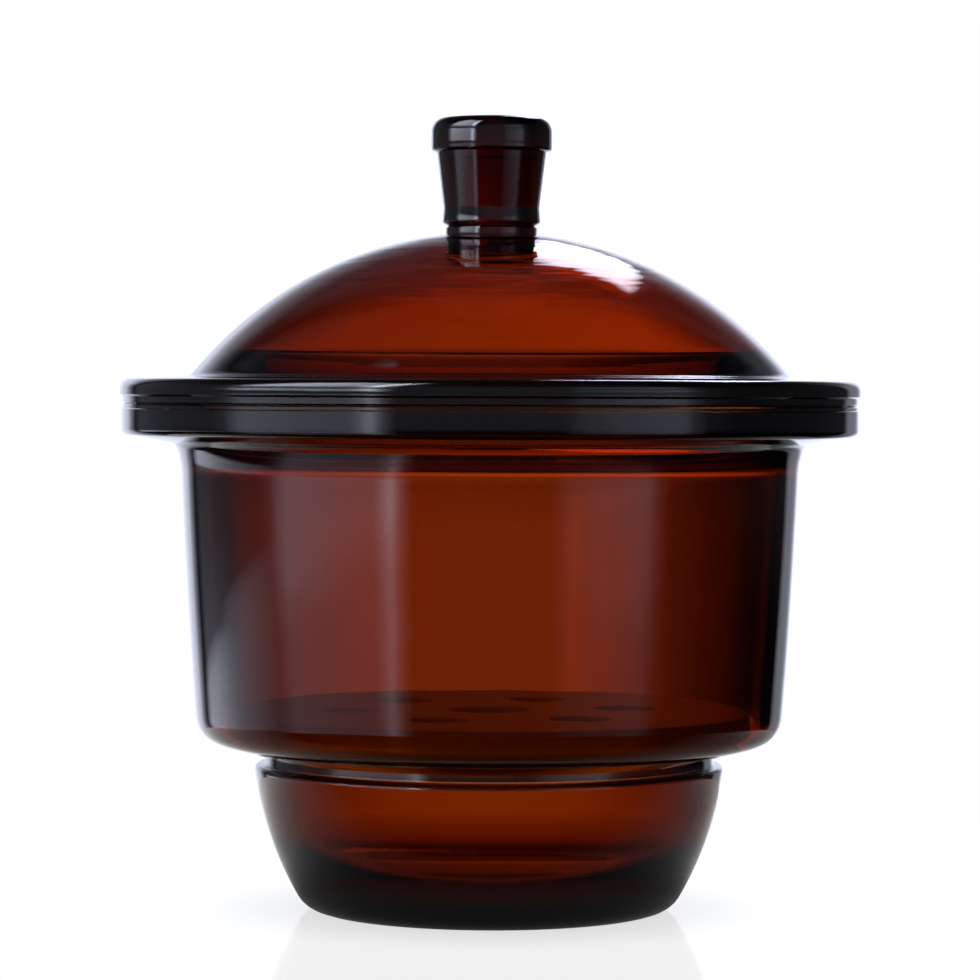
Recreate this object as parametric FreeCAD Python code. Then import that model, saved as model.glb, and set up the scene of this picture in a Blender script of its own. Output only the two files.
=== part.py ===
import FreeCAD, Part
import math
import os

# A laboratory desiccator of amber glass, in millimetres. +Z is up and the origin is the centre of
# the base, on the bench. Three pieces: the footed body, the domed lid with its knob, and the
# perforated porcelain plate that rests on the ledge inside the body.

# Sizes that both glass pieces share
MOUTH_R = 60.0  # inner radius at the mouth, half of the nominal size
WALL = 4.5  # thickness of the moulded glass
JOINT_Z = 105.6  # height of the ground joint above the bench
GROUND_W = 16.7  # width of the two ground faces, from the mouth to their outer edge
MOUTH_BEVEL = 0.8  # ground inner edge of both ground faces
RIM_BEVEL = 0.3  # broken outer edge of both ground faces

# Foot of the body
FOOT_H = 30.3
FOOT_TAPER = 10.9  # how much narrower the foot is at the bench than at its top
FOOT_BOW_R = 70.0  # radius of the bulge up the foot's side
FOOT_BASE_ROUND = 6.0
FLOOR_T = 5.7  # thickness of the glass floor
WELL_ROUND = 18.0  # rounding where the floor meets the well's side
BASE_RING_W = 7.2  # from the foot's outer edge in to the hollow, so that it stands on a ring
PUNT_DEPTH = 1.2  # rise of the hollow pressed up under the base

# Neck and shoulder
FOOT_TOP_ROUND = 0.8
NECK_INSET = 2.2  # from the foot's top edge in to the neck
NECK_LAND_RISE = 0.1  # rise of the foot's top from its edge to the neck
NECK_H = 2.1  # from the foot's top edge up to the shoulder's underside
NECK_ROUND = 0.7
SHOULDER_W = 11.9  # from the foot's top edge out to the chamber wall
SHOULDER_RISE = 3.9  # rise of the shoulder's underside from the neck to the wall
SHOULDER_ROUND = 6.0
LEDGE_EDGE_ROUND = 1.5
LEDGE_CORNER_ROUND = 2.0

# Chamber wall and flange of the body
CHAMBER_TAPER = 3.5  # how much narrower the chamber is at the shoulder than under the flange
CHAMBER_BOW_R = 1600.0  # very slight bulge up the chamber's side
FLANGE_PROUD = 0.2  # how far the moulded flange stands out past its ground face
FLANGE_T = 6.2  # at the outer edge
FLANGE_ROOT_T = 8.2  # beside the chamber wall
FLANGE_ROUND = 1.3
FLANGE_ROOT_ROUND = 2.0
FLARE_W = 1.1  # how much the chamber's wall flares out into the flange's root
FLARE_H = 4.2
FLARE_ROUND = 18.0
GROUND_H = 1.1  # height of the ground rim above the moulded flange
GROUND_STEP_H = 0.2  # slope from the moulded flange in to the ground rim

# Lid
LID_GROUND_H = 1.5
LID_LIP_H = 0.4
LID_FLANGE_PROUD = 0.6
LID_FLANGE_T = 5.0  # at the outer edge
LID_FLANGE_ROOT_T = 5.8  # beside the dome
LID_FLANGE_ROUND = 2.0
LID_ROOT_ROUND = 2.5
LID_STEP_W = 5.5  # how much wider the lid's ground face is than the body's, at its inner edge
LID_BORE_H = 8.35  # straight bore from the joint up to the hollow of the dome
LID_BORE_ROUND = 2.0
DOME_RISE = 36.1  # from the joint to the outside of the dome's top

# Knob, with heights above the top of the dome
KNOB_WAIST_R = 10.0
KNOB_WAIST_H = 5.0
KNOB_RING_INSET = 0.45  # inwards from the waist
KNOB_RING_H = 1.1
KNOB_NOTCH_INSET = 1.1
KNOB_NOTCH_H = 0.8
KNOB_TOE = 0.25  # outwards from the waist, where the shank begins
KNOB_FLARE = 1.4  # outwards from the waist, where the shank ends
KNOB_SHANK_H = 16.6
KNOB_HEAD_LIP = 1.2  # outwards from the top of the shank
KNOB_LIP_RISE = 0.4  # rise of the head's underside over that width
KNOB_HEAD_T = 6.9
KNOB_CROWN = 0.7  # rise of the slightly domed top
KNOB_HEAD_ROUND = 2.8
KNOB_EDGE_ROUND = 0.5

# Porcelain plate
PLATE_T = 5.0
PLATE_GAP = 2.0  # free space between the plate's edge and the chamber wall
PLATE_EDGE_ROUND = 1.2
CENTRE_HOLE_R = 8.2
RING_HOLE_R = 5.75
RING_HOLE_COUNT = 6
RING_PITCH_R = 29.0  # radius of the circle through the outer holes' centres
RING_START_DEG = 9.0  # turn of the first outer hole from +X
HOLE_BEVEL = 0.6  # broken edges of the holes, top and bottom

# Radii and heights that follow from the sizes above
GROUND_R = MOUTH_R + GROUND_W
SHOULDER_R = MOUTH_R + WALL - CHAMBER_TAPER
FOOT_TOP_R = SHOULDER_R - SHOULDER_W
NECK_R = FOOT_TOP_R - NECK_INSET
NECK_Z = FOOT_H + NECK_H
LEDGE_Z = NECK_Z + WALL
SHOULDER_Z = NECK_Z + SHOULDER_RISE


class Outline:
    """An outline in the XZ plane, drawn from point to point as (radius, height).

    A stretch's rounding is the fillet between it and the next one.
    """

    def __init__(self, r, z):
        self.first = self.here = FreeCAD.Vector(r, 0, z)
        self.edges = []
        self.corners = []

    def line(self, r, z, rounding=0.0):
        to = FreeCAD.Vector(r, 0, z)
        self.add(Part.LineSegment(self.here, to), to, rounding)

    def arc(self, middle, end, rounding=0.0):
        through, to = (FreeCAD.Vector(r, 0, z) for r, z in (middle, end))
        self.add(Part.Arc(self.here, through, to), to, rounding)

    def add(self, curve, to, rounding):
        self.edges.append(curve.toShape())
        self.corners.append((to, rounding))
        self.here = to

    def turned(self):
        """The solid that the closed and rounded outline sweeps round the Z axis."""
        self.line(self.first.x, self.first.z)
        plane = Part.Plane(FreeCAD.Vector(0, 0, 0), FreeCAD.Vector(0, 1, 0))
        whole = []
        for i, (corner, rounding) in enumerate(self.corners):
            fillets = []
            if rounding:
                maker = Part.ChFi2d.FilletAlgo(self.edges[i], self.edges[i + 1], plane)
                maker.perform(rounding)
                fillet, self.edges[i], self.edges[i + 1] = maker.result(corner)
                fillets = [fillet]
            whole += [self.edges[i]] + fillets
        face = Part.Face(Part.Wire(Part.sortEdges(whole)[0]))
        turned = face.revolve(FreeCAD.Vector(0, 0, 0), FreeCAD.Vector(0, 0, 1), 360)
        return turned if turned.Volume > 0 else turned.reversed()


class BowedSide:
    """The bulging side of a turned wall: an arc through two points, and its offsets inwards."""

    def __init__(self, low, high, bow_r):
        half_r, half_z = (high[0] - low[0]) / 2, (high[1] - low[1]) / 2
        half = math.hypot(half_r, half_z)
        reach = math.sqrt(bow_r**2 - half**2) / half
        self.bow_r = bow_r
        self.centre_r = low[0] + half_r - half_z * reach
        self.centre_z = low[1] + half_z + half_r * reach

    def radius(self, z, inset=0.0):
        return self.centre_r + math.sqrt((self.bow_r - inset) ** 2 - (z - self.centre_z) ** 2)

    def draw(self, outline, z_from, z_to, inset=0.0, rounding=0.0):
        z_middle = (z_from + z_to) / 2
        middle = (self.radius(z_middle, inset), z_middle)
        outline.arc(middle, (self.radius(z_to, inset), z_to), rounding)


def ball_radius(rim_r, rise):
    """Radius of the ball that a cap is cut from, by the cap's rim radius and its rise."""
    return (rim_r**2 + rise**2) / (2 * rise)


def cap_height(r, rim_r, rise):
    """Height of a cap above its rim, at a radius."""
    ball_r = ball_radius(rim_r, rise)
    return rise - ball_r + math.sqrt(ball_r**2 - r**2)


def make_body():
    """Foot, neck, shoulder, chamber and flange, moulded in one piece."""
    foot = BowedSide((FOOT_TOP_R - FOOT_TAPER, 0), (FOOT_TOP_R, FOOT_H), FOOT_BOW_R)
    flange_root_z = JOINT_Z - FLANGE_ROOT_T
    flare_z = flange_root_z - FLARE_H
    wall_top = (MOUTH_R + WALL, flare_z)
    chamber = BowedSide((SHOULDER_R, SHOULDER_Z), wall_top, CHAMBER_BOW_R)
    flange_r = GROUND_R + FLANGE_PROUD
    punt_r = foot.radius(0) - BASE_RING_W
    punt_middle = (punt_r / 2, cap_height(punt_r / 2, punt_r, PUNT_DEPTH))

    side = Outline(0, PUNT_DEPTH)
    side.arc(punt_middle, (punt_r, 0))
    side.line(foot.radius(0), 0, FOOT_BASE_ROUND)
    foot.draw(side, 0, FOOT_H, rounding=FOOT_TOP_ROUND)
    side.line(NECK_R, FOOT_H + NECK_LAND_RISE, NECK_ROUND)
    side.line(NECK_R, NECK_Z)
    side.line(SHOULDER_R, SHOULDER_Z, SHOULDER_ROUND)
    chamber.draw(side, SHOULDER_Z, flare_z, rounding=FLARE_ROUND)
    side.line(MOUTH_R + WALL + FLARE_W, flange_root_z, FLANGE_ROOT_ROUND)
    side.line(flange_r, JOINT_Z - FLANGE_T, FLANGE_ROUND)
    side.line(flange_r, JOINT_Z - GROUND_H)
    side.line(GROUND_R, JOINT_Z - GROUND_H + GROUND_STEP_H)
    side.line(GROUND_R, JOINT_Z - RIM_BEVEL)
    side.line(GROUND_R - RIM_BEVEL, JOINT_Z)
    side.line(MOUTH_R + MOUTH_BEVEL, JOINT_Z)
    side.line(MOUTH_R, JOINT_Z - MOUTH_BEVEL)
    side.line(chamber.radius(flare_z, WALL), flare_z)
    chamber.draw(side, flare_z, LEDGE_Z, WALL, LEDGE_CORNER_ROUND)
    side.line(NECK_R - WALL, LEDGE_Z, LEDGE_EDGE_ROUND)
    side.line(foot.radius(FOOT_H, WALL), FOOT_H)
    foot.draw(side, FOOT_H, FLOOR_T, WALL, WELL_ROUND)
    side.line(0, FLOOR_T)
    return side.turned(), chamber.radius(LEDGE_Z, WALL)


def make_lid():
    """Ground rim, flange, dome and knob, moulded in one piece."""
    apex_z = JOINT_Z + DOME_RISE
    bore_r = MOUTH_R - LID_STEP_W
    bore_z = JOINT_Z + LID_BORE_H
    dome_r = ball_radius(bore_r, apex_z - WALL - bore_z) + WALL
    centre_z = apex_z - dome_r
    lid_flange_r = GROUND_R + LID_FLANGE_PROUD
    lip_z = JOINT_Z + LID_GROUND_H
    flange_z = JOINT_Z + LID_FLANGE_T
    root_z = JOINT_Z + LID_FLANGE_ROOT_T
    root_r = math.sqrt(dome_r**2 - (root_z - centre_z) ** 2)

    ring_r = KNOB_WAIST_R - KNOB_RING_INSET
    ring_z = apex_z + KNOB_RING_H
    notch_z = ring_z + KNOB_NOTCH_H
    shank_z = apex_z + KNOB_SHANK_H
    shank_r = KNOB_WAIST_R + KNOB_FLARE
    head_r = shank_r + KNOB_HEAD_LIP
    crown_z = shank_z + KNOB_HEAD_T
    crown_middle_z = crown_z + cap_height(head_r / 2, head_r, KNOB_CROWN)

    def dome_point(r, inset=0.0):
        return r, centre_z + math.sqrt((dome_r - inset) ** 2 - r**2)

    side = Outline(0, apex_z - WALL)
    side.arc(dome_point(bore_r / 2, WALL), (bore_r, bore_z), LID_BORE_ROUND)
    side.line(bore_r, JOINT_Z + MOUTH_BEVEL)
    side.line(bore_r + MOUTH_BEVEL, JOINT_Z)
    side.line(GROUND_R - RIM_BEVEL, JOINT_Z)
    side.line(GROUND_R, JOINT_Z + RIM_BEVEL)
    side.line(GROUND_R, lip_z)
    side.line(lid_flange_r, lip_z + LID_LIP_H)
    side.line(lid_flange_r, flange_z, LID_FLANGE_ROUND)
    side.line(root_r, root_z, LID_ROOT_ROUND)
    side.arc(dome_point((ring_r + root_r) / 2), dome_point(ring_r))
    side.line(ring_r, ring_z, KNOB_EDGE_ROUND)
    side.line(KNOB_WAIST_R - KNOB_NOTCH_INSET, ring_z)
    side.line(KNOB_WAIST_R + KNOB_TOE, notch_z, KNOB_EDGE_ROUND)
    side.line(KNOB_WAIST_R, apex_z + KNOB_WAIST_H)
    side.line(shank_r, shank_z)
    side.line(head_r, shank_z + KNOB_LIP_RISE, KNOB_EDGE_ROUND)
    side.line(head_r, crown_z, KNOB_HEAD_ROUND)
    side.arc((head_r / 2, crown_middle_z), (0, crown_z + KNOB_CROWN))
    return side.turned()


def bevelled_hole(radius, x, y):
    """What a hole through the plate takes away, with its two broken edges."""
    side = Outline(0, LEDGE_Z)
    side.line(radius + HOLE_BEVEL, LEDGE_Z)
    side.line(radius, LEDGE_Z + HOLE_BEVEL)
    side.line(radius, LEDGE_Z + PLATE_T - HOLE_BEVEL)
    side.line(radius + HOLE_BEVEL, LEDGE_Z + PLATE_T)
    side.line(0, LEDGE_Z + PLATE_T)
    return side.turned().translate(FreeCAD.Vector(x, y, 0))


def make_plate(ledge_r):
    """The perforated disc that rests on the ledge."""
    plate_r = ledge_r - PLATE_GAP
    side = Outline(0, LEDGE_Z)
    side.line(plate_r, LEDGE_Z, PLATE_EDGE_ROUND)
    side.line(plate_r, LEDGE_Z + PLATE_T, PLATE_EDGE_ROUND)
    side.line(0, LEDGE_Z + PLATE_T)
    plate = side.turned().cut(bevelled_hole(CENTRE_HOLE_R, 0, 0))
    for i in range(RING_HOLE_COUNT):
        turn = math.radians(RING_START_DEG + i * 360 / RING_HOLE_COUNT)
        x, y = RING_PITCH_R * math.cos(turn), RING_PITCH_R * math.sin(turn)
        plate = plate.cut(bevelled_hole(RING_HOLE_R, x, y))
    return plate


body, ledge_r = make_body()
pieces = {"body": body, "lid": make_lid(), "plate": make_plate(ledge_r)}

os.makedirs("parts", exist_ok=True)
for name, shape in pieces.items():
    shape.exportStep(f"parts/{name}.step")
    box = shape.optimalBoundingBox()
    print(f"{name}: {shape.ShapeType}, {len(shape.Solids)} solid, valid {shape.isValid()},")
    print(f"  {shape.Volume / 1000:.1f} cm3, x {box.XMin:.2f} to {box.XMax:.2f}, ", end="")
    print(f"z {box.ZMin:.2f} to {box.ZMax:.2f}")
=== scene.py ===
import math
from collections import namedtuple

import bpy
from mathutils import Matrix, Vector


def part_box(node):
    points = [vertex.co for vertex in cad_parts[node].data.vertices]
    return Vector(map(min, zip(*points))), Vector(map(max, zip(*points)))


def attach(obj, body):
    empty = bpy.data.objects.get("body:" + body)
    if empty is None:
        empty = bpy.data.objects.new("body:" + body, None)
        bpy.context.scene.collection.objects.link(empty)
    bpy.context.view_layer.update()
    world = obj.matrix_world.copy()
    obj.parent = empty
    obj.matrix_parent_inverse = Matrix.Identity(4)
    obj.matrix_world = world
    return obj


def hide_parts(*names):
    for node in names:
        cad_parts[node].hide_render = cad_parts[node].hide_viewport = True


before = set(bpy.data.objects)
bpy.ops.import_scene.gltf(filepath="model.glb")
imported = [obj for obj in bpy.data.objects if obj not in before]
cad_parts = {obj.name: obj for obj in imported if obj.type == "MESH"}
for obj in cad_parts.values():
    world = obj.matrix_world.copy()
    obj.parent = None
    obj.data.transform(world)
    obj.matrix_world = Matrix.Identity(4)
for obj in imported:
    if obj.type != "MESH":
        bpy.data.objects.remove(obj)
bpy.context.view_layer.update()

# A footed desiccator of amber glass with a porcelain plate inside, in metres. Places come from the
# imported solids; what the moulded glass adds to them is named here.

# Glass, as moulded
WALL = 0.0045
GROUND_W = 0.0167
MOUTH_BEVEL = 0.0008
RIM_BEVEL = 0.0003
FOOT_H = 0.0303
FOOT_TAPER = 0.0109
FOOT_BOW_R = 0.070
FOOT_BASE_ROUND = 0.006
FLOOR_T = 0.0057
WELL_ROUND = 0.018
BASE_RING_W = 0.0072
PUNT_DEPTH = 0.0012
FOOT_TOP_ROUND = 0.0008
NECK_INSET = 0.0022
NECK_LAND_RISE = 0.0001
NECK_Z_RISE = 0.0021
NECK_ROUND = 0.0007
SHOULDER_W = 0.0119
SHOULDER_RISE = 0.0039
SHOULDER_ROUND = 0.006
LEDGE_EDGE_ROUND = 0.0015
LEDGE_CORNER_ROUND = 0.002
CHAMBER_TAPER = 0.0035
CHAMBER_BOW_R = 1.6
FLANGE_PROUD = 0.0002
FLANGE_T = 0.0062
FLANGE_ROOT_T = 0.0082
FLANGE_ROUND = 0.0013
FLANGE_ROOT_ROUND = 0.002
FLARE_W = 0.0011
FLARE_H = 0.0042
FLARE_ROUND = 0.018
GROUND_H = 0.0011
GROUND_STEP_H = 0.0002
LID_GROUND_H = 0.0015
LID_LIP_H = 0.0004
LID_FLANGE_PROUD = 0.0006
LID_FLANGE_T = 0.005
LID_FLANGE_ROOT_T = 0.0058
LID_FLANGE_ROUND = 0.002
LID_ROOT_ROUND = 0.0025
LID_STEP_W = 0.0055
LID_BORE_H = 0.00835
LID_BORE_ROUND = 0.002
KNOB_WAIST_R = 0.010
KNOB_WAIST_H = 0.005
KNOB_RING_INSET = 0.00045
KNOB_RING_H = 0.0011
KNOB_NOTCH_INSET = 0.0011
KNOB_NOTCH_H = 0.0008
KNOB_TOE = 0.00025
KNOB_FLARE = 0.0014
KNOB_SHANK_H = 0.0166
KNOB_HEAD_LIP = 0.0012
KNOB_LIP_RISE = 0.0004
KNOB_HEAD_T = 0.0069
KNOB_CROWN = 0.0007
KNOB_HEAD_ROUND = 0.0028
KNOB_EDGE_ROUND = 0.0005
GREASE_GAP = 0.00004  # film between the two ground faces

# How finely the outlines are turned into meshes
SEGMENTS = 360
STEP = 0.0015  # longest way between two rings
ARC_STEP_DEG = 12.0  # largest turn of an arc between two rings
SHARP_DEG = 10.0  # bends over this are sharp edges
HALVINGS = 50  # in the search for where a rounding starts

# Photograph's frame and camera. The horizon is the row that is level with the camera.
FRAME_PX = 980
SENSOR_MM = 36.0
FOCAL_PX = 3915.0
EYE_X = -0.00015
EYE_DISTANCE = 0.820
EYE_HEIGHT = 0.109
HORIZON_PX = 388.5
ROLL_DEG = -0.25
CLIP_START = 0.01

WHITE = (1, 1, 1, 1)
# What a metre of the amber glass takes from red, green and blue light
AMBER_PER_M = (210.0, 463.0, 900.0)
DENSITY_MARGIN = 1.05  # over the strongest of them, so that no colour of the volume falls to 0
GLASS_IOR = 1.52
GROUND_ROUGHNESS = 0.45
# Waviness of the moulded glass, as (how tightly it is repeated along X, Y and Z, depth, and the
# heights from which it sets in, has set in, and ends)
WAVES = (
    ((40, 40, 45), 0.00012, -0.01, 0.0, 1.0),
    ((60, 60, 700), 0.00014, 0.127, 0.133, 0.1405),
)
PORCELAIN_COLOUR = (0.82, 0.81, 0.78, 1)
PORCELAIN_ROUGHNESS = 0.4
PORCELAIN_SPECULAR = 0.2

# Studio that the glass sees, as (degrees, level) stops. Azimuth is measured from straight behind the
# object, positive to the right, so the camera's side is at 180 either way. The first four panels are
# seen in reflections and through the glass alike.
FRONT_AZIMUTH = (
    (-180, 1.0), (-100, 1.0), (-60, 0.8), (-52, 0.85), (-42, 0.85), (-35, 0.1), (-29, 0), (29, 0),
    (30, 0.2), (100, 0.3), (120, 1.0), (180, 1.0),
)
FRONT_ELEVATION = (
    (-90, 0.1), (-50, 0.1), (-34, 0.02), (-6, 0.02), (-2, 0.2), (20, 0.2), (40, 0.05), (90, 0.02),
)
LEFT_BOX_AZIMUTH = (
    (-180, 0), (-151, 0), (-147, 0.6), (-143, 2.6), (-140, 1.4), (-136, 0.75), (-123, 0.85), (-112, 1.0),
    (-100, 1.1), (-97, 0.9), (-91, 0.15), (-85, 0), (0, 0), (180, 0),
)
LEFT_BOX_ELEVATION = (
    (-90, 0), (-60, 0.02), (-44, 0.08), (-36, 0.35), (-20, 0.45), (-12, 0.45), (-9, 0.55), (-7.5, 1.0),
    (0.6, 1.0), (1, 0.1), (2.9, 0.1), (3.2, 3.0), (8, 4.0), (9.5, 0.2), (14, 0.2), (15.5, 1.6), (24, 1.6),
    (26, 6.0), (60, 6.0), (70, 0), (90, 0),
)
RIGHT_BOX_AZIMUTH = (
    (-180, 0), (0, 0), (111, 0), (116, 0.2), (120, 0.62), (124, 0.65), (134, 0.5), (141, 0.45),
    (146, 0.3), (151, 0.28), (155, 0.1), (158, 0), (180, 0),
)
RIGHT_BOX_ELEVATION = (
    (-90, 0), (-30, 0), (-20, 0.1), (-13, 0.25), (-10, 0.45), (-7.5, 0.85), (-5, 1.0), (0.6, 1.0), (1, 0.3),
    (2.9, 0.3), (3.2, 1.0), (8, 1.0), (9.5, 0.3), (14, 0.3), (15.5, 1.0), (30, 1.0), (36, 0), (90, 0),
)
TOP_BOX_AZIMUTH = ((-180, 0), (3.5, 0), (4.5, 1.0), (180, 1.0))
TOP_BOX_ELEVATION = ((-90, 0), (18, 0), (21, 5.0), (42, 5.0), (45, 0), (90, 0))
# Its right edge leans to the right, by this much azimuth for each degree above this elevation
TOP_BOX_LEAN = 0.7
TOP_BOX_LEAN_FROM = 28
TOP_BOX_EDGE = ((-180, 1.0), (13.5, 1.0), (15.5, 0), (180, 0))

# Behind the object, in reflections only
RIM_AZIMUTH = (
    (-180, 0), (-36, 0), (-30, 0.5), (-26, 1.0), (-15, 1.0), (-8, 0.75), (0, 0.9), (12, 1.0), (15, 0.95),
    (19, 0.5), (24, 0.3), (33, 0.35), (38, 0), (180, 0),
)
RIM_ELEVATION = (
    (-90, 0.1), (-20, 0.5), (-8, 1.3), (12, 1.3), (16, 0.85), (20, 0.45), (24, 0.3), (28, 0.18),
    (32, 0.08), (50, 0.05), (90, 0.01),
)
LEFT_WALL_AZIMUTH = (
    (-180, 0), (-95, 0), (-85, 0.3), (-77, 0.42), (-67, 0.55), (-60, 0.75), (-50, 1.0), (-42, 1.0),
    (-36, 0), (180, 0),
)
LEFT_WALL_ELEVATION = (
    (-90, 0), (-14.5, 0), (-13, 1.5), (-7.9, 1.5), (-7.1, 1.2), (-6.5, 0.35), (-5, 0.15), (-3, 0), (90, 0),
)

# Behind the object, through the glass only
BACKDROP_AZIMUTH = (
    (-180, 0), (-22, 0), (-14, 0.2), (-12.8, 0.4), (-8.3, 0.65), (-4.6, 1.0), (3.5, 1.0), (4.9, 0.6),
    (8.9, 0.26), (13.2, 0.1), (20, 0.03), (40, 0), (180, 0),
)
BACKDROP_ELEVATION = (
    (-90, 0.1), (-20, 0.6), (-10, 1.3), (-7, 1.3), (-5.5, 1.0), (-1.5, 1.0), (-1.3, 0.5), (-1.1, 0.5),
    (-0.95, 1.1), (0, 0.9), (2, 0.3), (4, 0), (90, 0),
)
SKY_AZIMUTH = ((-180, 0), (-30, 0.3), (-8, 0.75), (0, 1.0), (6, 1.35), (16, 1.2), (30, 0.3), (180, 0))
SKY_ELEVATION = (
    (-90, 0), (-1, 0), (2, 0.7), (4, 2.1), (7, 2.5), (9, 2.0), (12, 1.4), (18, 1.3), (28, 1.2), (45, 1.2),
    (65, 0.8), (80, 0), (90, 0),
)
# The camera's side, through the glass only, for looks from behind
BEHIND_AZIMUTH = ((-180, 1.0), (-125, 1.0), (-105, 0), (105, 0), (125, 1.0), (180, 1.0))
BEHIND_ELEVATION = (
    (-90, 0.1), (-20, 0.4), (-8, 1.0), (0, 1.0), (4, 2.0), (18, 1.8), (30, 0.8), (45, 0), (90, 0),
)
DIFFUSE_LEVEL = 0.6  # of the room's light on plain surfaces
PLATE_LEVEL = 0.32  # share of the light through the glass that still reaches the plate inside
REFLECTED_TINT = (0.93, 0.98, 1.18, 1)

# White table under the object, its glow with painted shade and painted light. A fade is two places,
# in metres, and the levels at them.
TABLE_R = 0.2
TABLE_CORNERS = 90
SHADED_LEVEL = 0.70  # to the camera, in the painted shade round the foot
LIT_GAIN = 0.18  # what the table gains outside that shade
EDGE_GAIN = 0.12  # and at its edge, where it ends in the room's white
FOOT_SHADE = ((0.034, 0.062), (0.0, 1.0))  # out from the middle, from full painted shade to none
EDGE_FADE = ((0.12, TABLE_R), (0.0, 1.0))  # out from the middle
NEAR_FADE = ((0.058, 0.045), (0.0, 0.2))  # in towards the foot, the least painted light that the glass sees there
NEAR_MIRRORED = 0.6  # share of that in reflections; light through the glass has one share more
BACK_FADE = ((-0.06, 0.12), (0.0, 1.0))  # along Y, to the glass: painted shade in front, painted light behind
MIRRORED_FADE = ((0.03, 0.1), (1.0, 0.5))  # along X, in reflections: painted shade towards the right
THROUGH_FADE = ((0.03, 0.12), (1.35, 0.5))  # to either side, through the glass: painted light, dimmer to the sides
SHEEN = 0.13
SHEEN_ROUGHNESS = 0.03

# Soft lamps, as (name, place, width, watts), aimed at the object's middle
LAMPS = (("key", (-0.6, -0.5, 1.2), 0.9, 1.5), ("fill", (0.8, -0.3, 1.0), 0.9, 0.8))
LAMP_TARGET = (0, 0, 0.08)

# A point of an outline: radius, height, whether the edge there is sharp and the glass after it ground
Ring = namedtuple("Ring", "r z sharp ground")


class Stretch:
    """A line, or an arc through a third point, from start to end, as (radius, height)."""

    def __init__(self, start, end, through=None):
        self.start, self.end = Vector(start), Vector(end)
        self.low, self.high = 0.0, 1.0  # what is left of it after its ends are trimmed
        self.ground = False
        self.centre = None
        if through is not None:
            self.set_arc(Vector(through))

    def set_arc(self, through):
        a, b = through - self.start, self.end - self.start
        cross = 2 * (a.x * b.y - a.y * b.x)
        offset = Vector((b.y * a.dot(a) - a.y * b.dot(b), a.x * b.dot(b) - b.x * a.dot(a))) / cross
        self.centre = self.start + offset
        self.radius = offset.length
        self.turn = math.atan2(-offset.y, -offset.x)
        to_end = self.end - self.centre
        sweep = (math.atan2(to_end.y, to_end.x) - self.turn) % (2 * math.pi)
        self.sweep = sweep if cross > 0 else sweep - 2 * math.pi

    def at(self, t):
        if self.centre is None:
            return self.start.lerp(self.end, t)
        angle = self.turn + self.sweep * t
        return self.centre + self.radius * Vector((math.cos(angle), math.sin(angle)))

    def along(self, t):
        """The direction of travel at t."""
        if self.centre is None:
            return (self.end - self.start).normalized()
        angle = self.turn + self.sweep * t + math.copysign(math.pi / 2, self.sweep)
        return Vector((math.cos(angle), math.sin(angle)))

    def length(self):
        if self.centre is None:
            return (self.end - self.start).length
        return abs(self.sweep) * self.radius

    def leftward(self, p):
        """Signed distance of p from the whole line or circle, positive on the left of travel."""
        if self.centre is None:
            d = self.along(0)
            return d.x * (p.y - self.start.y) - d.y * (p.x - self.start.x)
        outside = (p - self.centre).length - self.radius
        return -outside if self.sweep > 0 else outside

    def nearest(self, p):
        """The t of the point that is nearest to p."""
        if self.centre is None:
            return (p - self.start).dot(self.end - self.start) / (self.end - self.start).length_squared
        arm = p - self.centre
        turned = (math.atan2(arm.y, arm.x) - self.turn + math.pi) % (2 * math.pi) - math.pi
        return turned / self.sweep

    def points(self, step):
        span = self.high - self.low
        count = max(1, math.ceil(self.length() * span / step))
        if self.centre is not None:
            turn = math.degrees(abs(self.sweep)) * span
            count = max(count, math.ceil(turn / ARC_STEP_DEG))
        return [self.at(self.low + span * i / count) for i in range(count + 1)]


def left_of(d):
    return Vector((-d.y, d.x))


def fillet(first, second, radius):
    """Trims two stretches to the arc of that radius between them, and returns the arc."""
    d, e = first.along(1), second.along(0)
    side = math.copysign(1.0, d.x * e.y - d.y * e.x)
    low, high = 0.0, 1.0
    for _ in range(HALVINGS):
        t = (low + high) / 2
        centre = first.at(t) + side * radius * left_of(first.along(t))
        if side * second.leftward(centre) > radius:
            low = t
        else:
            high = t
    first.high, second.low = t, second.nearest(centre)
    start, end = first.at(first.high), second.at(second.low)
    middle = centre + radius * ((start + end) / 2 - centre).normalized()
    return Stretch(start, end, middle)


class Outline:
    """A closed outline of one glass wall, drawn from point to point as (radius, height)."""

    def __init__(self, r, z):
        self.here = (r, z)
        self.stretches = []

    def line(self, r, z, rounding=0.0, ground=False):
        self.add(Stretch(self.here, (r, z)), rounding, ground)

    def arc(self, middle, end, rounding=0.0):
        self.add(Stretch(self.here, end, middle), rounding)

    def add(self, stretch, rounding, ground=False):
        stretch.ground = ground
        self.stretches.append((stretch, rounding))
        self.here = stretch.end

    def rounded(self):
        """The stretches in order, with the arcs that round their corners."""
        made = []
        for i, (stretch, rounding) in enumerate(self.stretches):
            arc = fillet(stretch, self.stretches[i + 1][0], rounding) if rounding else None
            made.append(stretch)
            if arc is not None:
                made.append(arc)
        return made

    def rings(self):
        """The points of the outline in order, as rings to turn round the Z axis."""
        rings = []
        before = None
        for stretch in self.rounded():
            bend = 0.0 if before is None else before.angle(stretch.along(stretch.low))
            before = stretch.along(stretch.high)
            sharp = math.degrees(bend) > SHARP_DEG
            for i, p in enumerate(stretch.points(STEP)[:-1]):
                rings.append(Ring(p.x, p.y, sharp and i == 0, stretch.ground))
        last = stretch.at(stretch.high)
        rings.append(Ring(last.x, last.y, False, False))
        return rings


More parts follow.
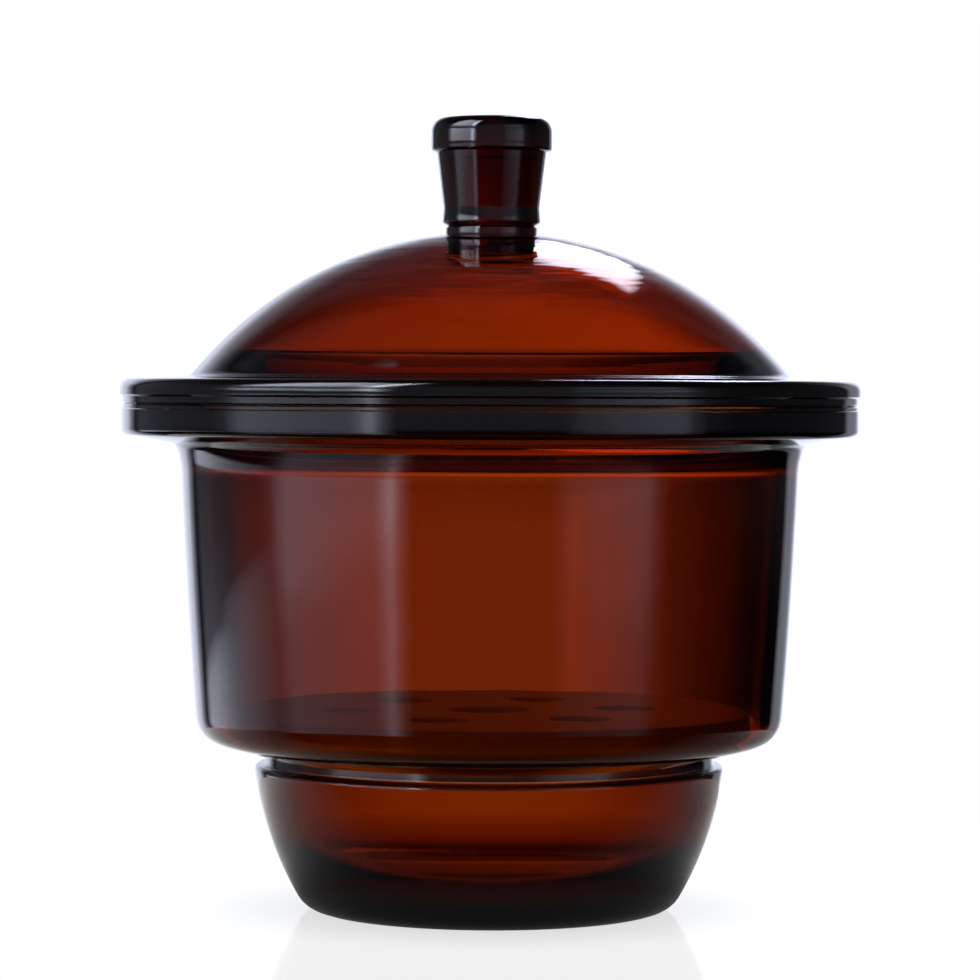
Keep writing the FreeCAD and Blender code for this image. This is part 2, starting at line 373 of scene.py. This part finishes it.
class BowedSide:
    """The bulging side of a turned wall: an arc through two points, and its offsets inwards."""

    def __init__(self, low, high, bow_r):
        half_r, half_z = (high[0] - low[0]) / 2, (high[1] - low[1]) / 2
        half = math.hypot(half_r, half_z)
        reach = math.sqrt(bow_r**2 - half**2) / half
        self.bow_r = bow_r
        self.centre_r = low[0] + half_r - half_z * reach
        self.centre_z = low[1] + half_z + half_r * reach

    def radius(self, z, inset=0.0):
        return self.centre_r + math.sqrt((self.bow_r - inset) ** 2 - (z - self.centre_z) ** 2)

    def draw(self, outline, z_from, z_to, inset=0.0, rounding=0.0):
        z_middle = (z_from + z_to) / 2
        middle = (self.radius(z_middle, inset), z_middle)
        outline.arc(middle, (self.radius(z_to, inset), z_to), rounding)


def ball_radius(rim_r, rise):
    """Radius of the ball of which a cap with that rim and rise is cut."""
    return (rim_r**2 + rise**2) / (2 * rise)


def cap_height(r, rim_r, rise):
    """Height above its rim, at radius r, of a cap with that rim and rise."""
    ball_r = ball_radius(rim_r, rise)
    return rise - ball_r + math.sqrt(ball_r**2 - r**2)


def body_outline():
    flange_r, _, joint_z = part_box("body")[1]
    ground_r = flange_r - FLANGE_PROUD
    mouth_r = ground_r - GROUND_W
    shoulder_r = mouth_r + WALL - CHAMBER_TAPER
    foot_top_r = shoulder_r - SHOULDER_W
    neck_z = FOOT_H + NECK_Z_RISE
    neck_r = foot_top_r - NECK_INSET
    ledge_z = neck_z + WALL
    shoulder_z = neck_z + SHOULDER_RISE
    foot = BowedSide((foot_top_r - FOOT_TAPER, 0), (foot_top_r, FOOT_H), FOOT_BOW_R)
    flange_root_z = joint_z - FLANGE_ROOT_T
    flare_z = flange_root_z - FLARE_H
    wall_top = (mouth_r + WALL, flare_z)
    chamber = BowedSide((shoulder_r, shoulder_z), wall_top, CHAMBER_BOW_R)
    punt_r = foot.radius(0) - BASE_RING_W
    punt_middle = (punt_r / 2, cap_height(punt_r / 2, punt_r, PUNT_DEPTH))

    side = Outline(0, PUNT_DEPTH)
    side.arc(punt_middle, (punt_r, 0))
    side.line(foot.radius(0), 0, FOOT_BASE_ROUND)
    foot.draw(side, 0, FOOT_H, rounding=FOOT_TOP_ROUND)
    side.line(neck_r, FOOT_H + NECK_LAND_RISE, NECK_ROUND)
    side.line(neck_r, neck_z)
    side.line(shoulder_r, shoulder_z, SHOULDER_ROUND)
    chamber.draw(side, shoulder_z, flare_z, rounding=FLARE_ROUND)
    side.line(mouth_r + WALL + FLARE_W, flange_root_z, FLANGE_ROOT_ROUND)
    side.line(flange_r, joint_z - FLANGE_T, FLANGE_ROUND)
    side.line(flange_r, joint_z - GROUND_H)
    side.line(ground_r, joint_z - GROUND_H + GROUND_STEP_H)
    side.line(ground_r, joint_z - RIM_BEVEL)
    side.line(ground_r - RIM_BEVEL, joint_z)
    side.line(mouth_r + MOUTH_BEVEL, joint_z, ground=True)
    side.line(mouth_r, joint_z - MOUTH_BEVEL, ground=True)
    side.line(chamber.radius(flare_z, WALL), flare_z)
    chamber.draw(side, flare_z, ledge_z, WALL, LEDGE_CORNER_ROUND)
    side.line(neck_r - WALL, ledge_z, LEDGE_EDGE_ROUND)
    side.line(foot.radius(FOOT_H, WALL), FOOT_H)
    foot.draw(side, FOOT_H, FLOOR_T, WALL, WELL_ROUND)
    side.line(0, FLOOR_T)
    return side


def lid_outline():
    low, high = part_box("lid")
    joint_z = low[2] + GREASE_GAP
    flange_r, _, crown_top_z = high
    ground_r = flange_r - LID_FLANGE_PROUD
    mouth_r = ground_r - GROUND_W
    crown_z = crown_top_z - KNOB_CROWN
    shank_z = crown_z - KNOB_HEAD_T
    apex_z = shank_z - KNOB_SHANK_H
    bore_r = mouth_r - LID_STEP_W
    bore_z = joint_z + LID_BORE_H
    dome_r = ball_radius(bore_r, apex_z - WALL - bore_z) + WALL
    centre_z = apex_z - dome_r
    lip_z = joint_z + LID_GROUND_H
    flange_z = joint_z + LID_FLANGE_T
    root_z = joint_z + LID_FLANGE_ROOT_T
    root_r = math.sqrt(dome_r**2 - (root_z - centre_z) ** 2)
    ring_r = KNOB_WAIST_R - KNOB_RING_INSET
    ring_z = apex_z + KNOB_RING_H
    notch_z = ring_z + KNOB_NOTCH_H
    shank_r = KNOB_WAIST_R + KNOB_FLARE
    head_r = shank_r + KNOB_HEAD_LIP
    crown_middle_z = crown_z + cap_height(head_r / 2, head_r, KNOB_CROWN)

    def dome_point(r, inset=0.0):
        return r, centre_z + math.sqrt((dome_r - inset) ** 2 - r**2)

    side = Outline(0, apex_z - WALL)
    side.arc(dome_point(bore_r / 2, WALL), (bore_r, bore_z), LID_BORE_ROUND)
    side.line(bore_r, joint_z + MOUTH_BEVEL)
    side.line(bore_r + MOUTH_BEVEL, joint_z, ground=True)
    side.line(ground_r - RIM_BEVEL, joint_z, ground=True)
    side.line(ground_r, joint_z + RIM_BEVEL)
    side.line(ground_r, lip_z)
    side.line(flange_r, lip_z + LID_LIP_H)
    side.line(flange_r, flange_z, LID_FLANGE_ROUND)
    side.line(root_r, root_z, LID_ROOT_ROUND)
    side.arc(dome_point((ring_r + root_r) / 2), dome_point(ring_r))
    side.line(ring_r, ring_z, KNOB_EDGE_ROUND)
    side.line(KNOB_WAIST_R - KNOB_NOTCH_INSET, ring_z)
    side.line(KNOB_WAIST_R + KNOB_TOE, notch_z, KNOB_EDGE_ROUND)
    side.line(KNOB_WAIST_R, apex_z + KNOB_WAIST_H)
    side.line(shank_r, shank_z)
    side.line(head_r, shank_z + KNOB_LIP_RISE, KNOB_EDGE_ROUND)
    side.line(head_r, crown_z, KNOB_HEAD_ROUND)
    side.arc((head_r / 2, crown_middle_z), (0, crown_top_z))
    return side


def turned_mesh(name, outline):
    """The closed mesh that an outline sweeps round the Z axis. Its ends lie on the axis."""
    first, *inner, final = outline.rings()
    verts = [(0.0, 0.0, first.z)]
    for ring in inner:
        for k in range(SEGMENTS):
            a = 2 * math.pi * k / SEGMENTS
            verts.append((ring.r * math.cos(a), ring.r * math.sin(a), ring.z))
    verts.append((0.0, 0.0, final.z))

    around = [(k, (k + 1) % SEGMENTS) for k in range(SEGMENTS)]
    starts = [1 + i * SEGMENTS for i in range(len(inner))]
    faces = [(0, 1 + k2, 1 + k) for k, k2 in around]
    ground = [0.0] * SEGMENTS
    for ring, here, above in zip(inner, starts, starts[1:]):
        faces += [(here + k, here + k2, above + k2, above + k) for k, k2 in around]
        ground += [float(ring.ground)] * SEGMENTS
    faces += [(starts[-1] + k, starts[-1] + k2, len(verts) - 1) for k, k2 in around]
    ground += [0.0] * SEGMENTS

    mesh = bpy.data.meshes.new(name)
    mesh.from_pydata(verts, [], faces)
    mesh.polygons.foreach_set("use_smooth", [True] * len(faces))
    sharp = {i for i, ring in enumerate(inner) if ring.sharp}
    for edge in mesh.edges:
        a, b = [(v - 1) // SEGMENTS for v in edge.vertices]
        edge.use_edge_sharp = a == b and a in sharp
    layer = mesh.attributes.new("ground", "FLOAT", "FACE")
    layer.data.foreach_set("value", ground)
    mesh.update()
    piece = bpy.data.objects.new(name, mesh)
    bpy.context.collection.objects.link(piece)
    return piece


class Shading:
    """The shader nodes of a material or a world."""

    def __init__(self, owner):
        owner.use_nodes = True
        self.nodes, self.links = owner.node_tree.nodes, owner.node_tree.links

    def add(self, kind, *sources):
        """A new node, with its first inputs linked to the sources or set to them."""
        node = self.nodes.new(kind)
        self.feed(node, sources)
        return node

    def feed(self, node, sources):
        for socket, source in zip(node.inputs, sources):
            if isinstance(source, bpy.types.NodeSocket):
                self.links.new(source, socket)
            else:
                socket.default_value = source

    def math(self, operation, *sources):
        node = self.add("ShaderNodeMath")
        node.operation = operation
        self.feed(node, sources)
        return node.outputs[0]

    def fade(self, value, places, levels):
        """The levels at two places of value, a straight line between them, and no change past them."""
        node = self.add("ShaderNodeMapRange", value, *places, *levels)
        return node.outputs["Result"]

    def profile(self, value, stops):
        """The level at value, in straight lines between stops of (value, level)."""
        low, high = stops[0][0], stops[-1][0]
        peak = max(level for _, level in stops)
        ramp = self.add("ShaderNodeValToRGB", self.fade(value, (low, high), (0.0, 1.0)))
        elements = ramp.color_ramp.elements
        while len(elements) < len(stops):
            elements.new(0.5)
        for element, (place, level) in zip(elements, stops):
            element.position = (place - low) / (high - low)
            element.color = (*(level / peak,) * 3, 1)
        return self.math("MULTIPLY", ramp.outputs["Color"], peak)

    def finish(self, output, *shaders):
        """Links the sum of two shader nodes to the output's surface."""
        both = self.add("ShaderNodeAddShader", *(shader.outputs[0] for shader in shaders))
        self.links.new(both.outputs[0], self.nodes[output].inputs["Surface"])


def wavy_normal(shading):
    """The surface normal, tilted by the waves of the moulded glass."""
    place = shading.add("ShaderNodeTexCoord").outputs["Object"]
    height = shading.add("ShaderNodeSeparateXYZ", place).outputs["Z"]
    waves = []
    for stretch, depth, low, high, end in WAVES:
        stretched = shading.add("ShaderNodeVectorMath")
        stretched.operation = "MULTIPLY"
        shading.feed(stretched, (place, stretch))
        noise = shading.add("ShaderNodeTexNoise", stretched.outputs[0])
        noise.inputs["Scale"].default_value = 1.0
        noise.inputs["Detail"].default_value = 1.0
        below = shading.math("LESS_THAN", height, end)
        share = shading.math("MULTIPLY", below, shading.fade(height, (low, high), (0.0, depth)))
        waves.append(shading.math("MULTIPLY", noise.outputs["Fac"], share))
    bump = shading.add("ShaderNodeBump")
    bump.inputs["Distance"].default_value = 1.0
    shading.links.new(shading.math("ADD", *waves), bump.inputs["Height"])
    return bump.outputs["Normal"]


def amber_glass():
    """Clear amber glass, coloured by how far light goes through it, with frosted ground faces."""
    mat = bpy.data.materials.new("amber_glass")
    shading = Shading(mat)
    shader = shading.nodes["Principled BSDF"]
    shader.inputs["Base Color"].default_value = WHITE
    shader.inputs["Transmission Weight"].default_value = 1.0
    shader.inputs["IOR"].default_value = GLASS_IOR
    ground = shading.add("ShaderNodeAttribute")
    ground.attribute_name = "ground"
    roughness = shading.fade(ground.outputs["Fac"], (0.0, 1.0), (0.0, GROUND_ROUGHNESS))
    shading.links.new(roughness, shader.inputs["Roughness"])
    shading.links.new(wavy_normal(shading), shader.inputs["Normal"])
    volume = shading.add("ShaderNodeVolumeAbsorption")
    density = max(AMBER_PER_M) * DENSITY_MARGIN
    volume.inputs["Density"].default_value = density
    volume.inputs["Color"].default_value = (*(1 - a / density for a in AMBER_PER_M), 1)
    shading.links.new(volume.outputs["Volume"], shading.nodes["Material Output"].inputs["Volume"])
    return mat


def porcelain():
    mat = bpy.data.materials.new("porcelain")
    mat.use_nodes = True
    shader = mat.node_tree.nodes["Principled BSDF"]
    shader.inputs["Base Color"].default_value = PORCELAIN_COLOUR
    shader.inputs["Roughness"].default_value = PORCELAIN_ROUGHNESS
    shader.inputs["Specular IOR Level"].default_value = PORCELAIN_SPECULAR
    return mat


def make_world():
    """A white room to the camera. Reflections and light through the glass see the studio instead: a
    bright backdrop behind, panels at the sides and a dark front."""
    world = bpy.data.worlds.new("studio")
    bpy.context.scene.world = world
    shading = Shading(world)
    m = shading.math
    direction = shading.add("ShaderNodeTexCoord").outputs["Generated"]
    x, y, z = shading.add("ShaderNodeSeparateXYZ", direction).outputs
    from_back = m("MULTIPLY", m("ARCTAN2", x, y), 180 / math.pi)
    elevation = m("MULTIPLY", m("ARCSINE", z), 180 / math.pi)

    def panel(sideways, upward):
        return m("MULTIPLY", shading.profile(from_back, sideways), shading.profile(elevation, upward))

    front = panel(FRONT_AZIMUTH, FRONT_ELEVATION)
    left = panel(LEFT_BOX_AZIMUTH, LEFT_BOX_ELEVATION)
    right = panel(RIGHT_BOX_AZIMUTH, RIGHT_BOX_ELEVATION)
    lean = m("MULTIPLY", m("SUBTRACT", elevation, TOP_BOX_LEAN_FROM), TOP_BOX_LEAN)
    edge = shading.profile(m("SUBTRACT", from_back, lean), TOP_BOX_EDGE)
    top = m("MULTIPLY", panel(TOP_BOX_AZIMUTH, TOP_BOX_ELEVATION), edge)
    studio = m("ADD", m("ADD", front, left), m("ADD", right, top))
    rim = panel(RIM_AZIMUTH, RIM_ELEVATION)
    left_wall = panel(LEFT_WALL_AZIMUTH, LEFT_WALL_ELEVATION)
    low_back = panel(BACKDROP_AZIMUTH, BACKDROP_ELEVATION)
    high_back = panel(SKY_AZIMUTH, SKY_ELEVATION)
    behind = panel(BEHIND_AZIMUTH, BEHIND_ELEVATION)
    mirrored = m("ADD", studio, m("ADD", rim, left_wall))
    seen_through = m("ADD", studio, m("ADD", m("ADD", low_back, high_back), behind))

    rays = shading.add("ShaderNodeLightPath").outputs
    through = rays["Is Transmission Ray"]
    reflected = m("MULTIPLY", rays["Is Glossy Ray"], m("SUBTRACT", 1.0, through))
    scattered = m("MINIMUM", rays["Diffuse Depth"], 1.0)
    past_plate = m("SUBTRACT", 1.0, m("MULTIPLY", scattered, 1 - PLATE_LEVEL))
    by_through = m("MULTIPLY", m("MULTIPLY", through, past_plate), seen_through)
    by_diffuse = m("MULTIPLY", rays["Is Diffuse Ray"], DIFFUSE_LEVEL)
    level = m("ADD", m("ADD", rays["Is Camera Ray"], by_diffuse), by_through)
    plain = shading.nodes["Background"]
    shading.feed(plain, (WHITE, level))
    cool = shading.add("ShaderNodeBackground", REFLECTED_TINT, m("MULTIPLY", reflected, mirrored))
    shading.finish("World Output", plain, cool)


def table_white():
    """White to the camera, with a faint sheen and a painted shade round the foot. The glass sees painted
    light
    on the table: brighter behind the object than before it, and brightest in the middle."""
    mat = bpy.data.materials.new("floor")
    shading = Shading(mat)
    shading.nodes.remove(shading.nodes["Principled BSDF"])
    m = shading.math
    place = shading.add("ShaderNodeNewGeometry").outputs["Position"]
    distance = shading.add("ShaderNodeVectorMath", place)
    distance.operation = "LENGTH"
    reach = distance.outputs["Value"]
    x, y, _ = shading.add("ShaderNodeSeparateXYZ", place).outputs
    rays = shading.add("ShaderNodeLightPath").outputs
    camera, through = rays["Is Camera Ray"], rays["Is Transmission Ray"]

    unshaded = shading.fade(reach, *FOOT_SHADE)
    edge = shading.fade(reach, *EDGE_FADE)
    gain = m("ADD", m("MULTIPLY", unshaded, LIT_GAIN), m("MULTIPLY", edge, EDGE_GAIN))
    seen = m("MULTIPLY", camera, m("ADD", SHADED_LEVEL, gain))
    # Painted light that only the glass sees: the table glows brighter behind, in the middle and near the
    # foot
    mirrored = m("MULTIPLY", m("SUBTRACT", 1.0, through), shading.fade(x, *MIRRORED_FADE))
    seen_through = m("MULTIPLY", through, shading.fade(m("ABSOLUTE", x), *THROUGH_FADE))
    painted_backlight = m("MULTIPLY", shading.fade(y, *BACK_FADE), m("ADD", mirrored, seen_through))
    painted_foot_light = m("MULTIPLY", shading.fade(reach, *NEAR_FADE), m("ADD", NEAR_MIRRORED, through))
    by_glass = m("MAXIMUM", m("MULTIPLY", unshaded, painted_backlight), painted_foot_light)
    lit = m("MULTIPLY", m("SUBTRACT", 1.0, camera), by_glass)
    glow = shading.add("ShaderNodeEmission", WHITE, m("ADD", seen, lit))
    inside = m("MULTIPLY", camera, m("SUBTRACT", 1.0, edge))
    sheen = shading.add("ShaderNodeBsdfGlossy", m("MULTIPLY", inside, SHEEN), SHEEN_ROUGHNESS)
    shading.finish("Material Output", glow, sheen)
    return mat


def make_floor():
    """A round white table under the object. Past its edge the room is just as white to the camera."""
    mesh = bpy.data.meshes.new("floor")
    turns = [2 * math.pi * k / TABLE_CORNERS for k in range(TABLE_CORNERS)]
    rim = [(TABLE_R * math.cos(a), TABLE_R * math.sin(a), 0) for a in turns]
    mesh.from_pydata(rim, [], [tuple(range(TABLE_CORNERS))])
    mesh.materials.append(table_white())
    floor = bpy.data.objects.new("floor", mesh)
    bpy.context.collection.objects.link(floor)


def make_lamp(name, place, width, watts):
    """A soft lamp that lights plain surfaces only, as the glass has the studio."""
    lamp = bpy.data.lights.new(name, "AREA")
    lamp.shape = "SQUARE"
    lamp.size = width
    lamp.energy = watts
    holder = bpy.data.objects.new(name, lamp)
    holder.location = place
    aim = Vector(LAMP_TARGET) - Vector(place)
    holder.rotation_euler = aim.to_track_quat("-Z", "Y").to_euler()
    holder.visible_glossy = False
    holder.visible_transmission = False
    holder.visible_camera = False
    bpy.context.collection.objects.link(holder)


def make_camera():
    data = bpy.data.cameras.new("camera")
    data.sensor_width = SENSOR_MM
    data.lens = SENSOR_MM * FOCAL_PX / FRAME_PX
    data.clip_start = CLIP_START
    camera = bpy.data.objects.new("camera", data)
    bpy.context.collection.objects.link(camera)
    pitch = math.atan((FRAME_PX / 2 - HORIZON_PX) / FOCAL_PX)
    camera.location = (EYE_X, -EYE_DISTANCE, EYE_HEIGHT)
    camera.rotation_euler = (math.pi / 2 - pitch, math.radians(ROLL_DEG), 0)
    bpy.context.scene.camera = camera


make_camera()
glass = amber_glass()
for node, outline, body in (("body", body_outline(), "vessel"), ("lid", lid_outline(), "cover")):
    piece = turned_mesh(f"{node}_glass", outline)
    piece.data.materials.append(glass)
    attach(piece, body)
    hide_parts(node)
glaze = porcelain()
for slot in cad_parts["plate"].material_slots:
    slot.material = glaze

make_world()
make_floor()
for name, place, width, watts in LAMPS:
    make_lamp(name, place, width, watts)
bpy.context.scene.view_settings.view_transform = "Standard"
